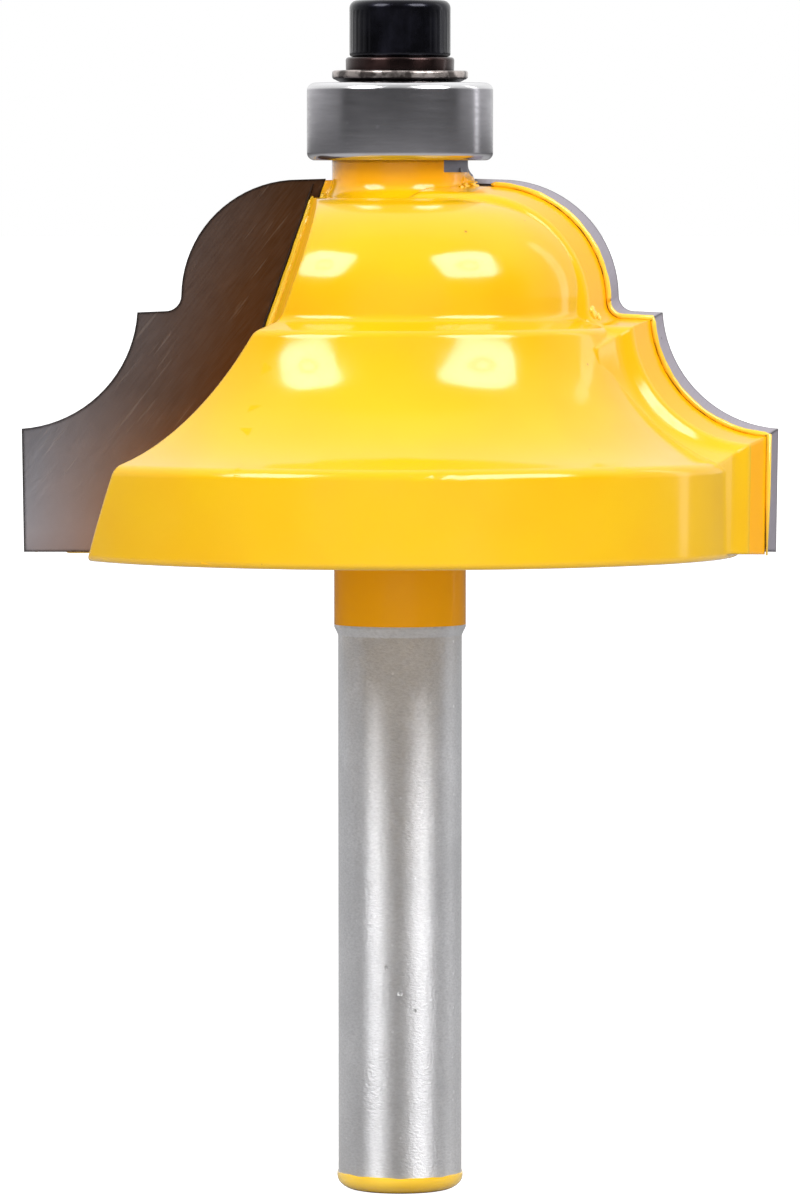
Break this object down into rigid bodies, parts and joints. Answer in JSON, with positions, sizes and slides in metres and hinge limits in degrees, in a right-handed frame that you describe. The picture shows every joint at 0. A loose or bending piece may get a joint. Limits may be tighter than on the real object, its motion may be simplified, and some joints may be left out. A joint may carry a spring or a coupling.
{
  "type": "router bit",
  "caption": "Router bit with a round shank, a painted steel body, brazed carbide tips ground to a bead over a cove, and a screwed-on guide bearing.",
  "frame": {"origin": "centre of the shank's end face", "axes": "+Z along the bit's axis from the shank to the bearing; -X through tip 1, whose face looks towards -Y"},
  "size_m": [0.0388, 0.0348, 0.061],
  "materials": {
    "painted_steel": "gloss paint over steel, with the shank left bare",
    "carbide": "ground",
    "braze": "dull",
    "bearing_steel": "satin, bright chamfers",
    "shield_steel": "satin",
    "cage_steel": "satin",
    "ball_steel": "polished",
    "blackened_steel": "black oxide, slightly glossy"
  },
  "bodies": {
    "bit": {"cutter_body": "painted_steel", "carbide_tip_1": "carbide", "carbide_tip_2": "carbide", "braze_seam_1": "braze", "braze_seam_2": "braze", "bearing_inner_ring": "bearing_steel", "dust_washer": "blackened_steel", "lock_washer": "blackened_steel", "cap_screw": "blackened_steel"},
    "outer_ring": {"bearing_outer_ring": "bearing_steel", "bearing_lower_shield": "shield_steel", "bearing_upper_shield": "shield_steel"},
    "ball_set": {"bearing_cage": "cage_steel", "bearing_ball_1": "ball_steel", "bearing_ball_2": "ball_steel", "bearing_ball_3": "ball_steel", "bearing_ball_4": "ball_steel", "bearing_ball_5": "ball_steel", "bearing_ball_6": "ball_steel", "bearing_ball_7": "ball_steel"}
  },
  "joints": [
    {"name": "bearing_spin", "type": "hinge", "parent": "bit", "child": "outer_ring", "pos_m": [0, 0, 0.05483], "axis": [0, 0, 1], "continuous": true},
    {"name": "cage_spin", "type": "hinge", "parent": "bit", "child": "ball_set", "pos_m": [0, 0, 0.05483], "axis": [0, 0, 1], "continuous": true}
  ],
  "couplings": [
    {"joint": "cage_spin", "follows": "bearing_spin", "ratio": 0.625}
  ]
}
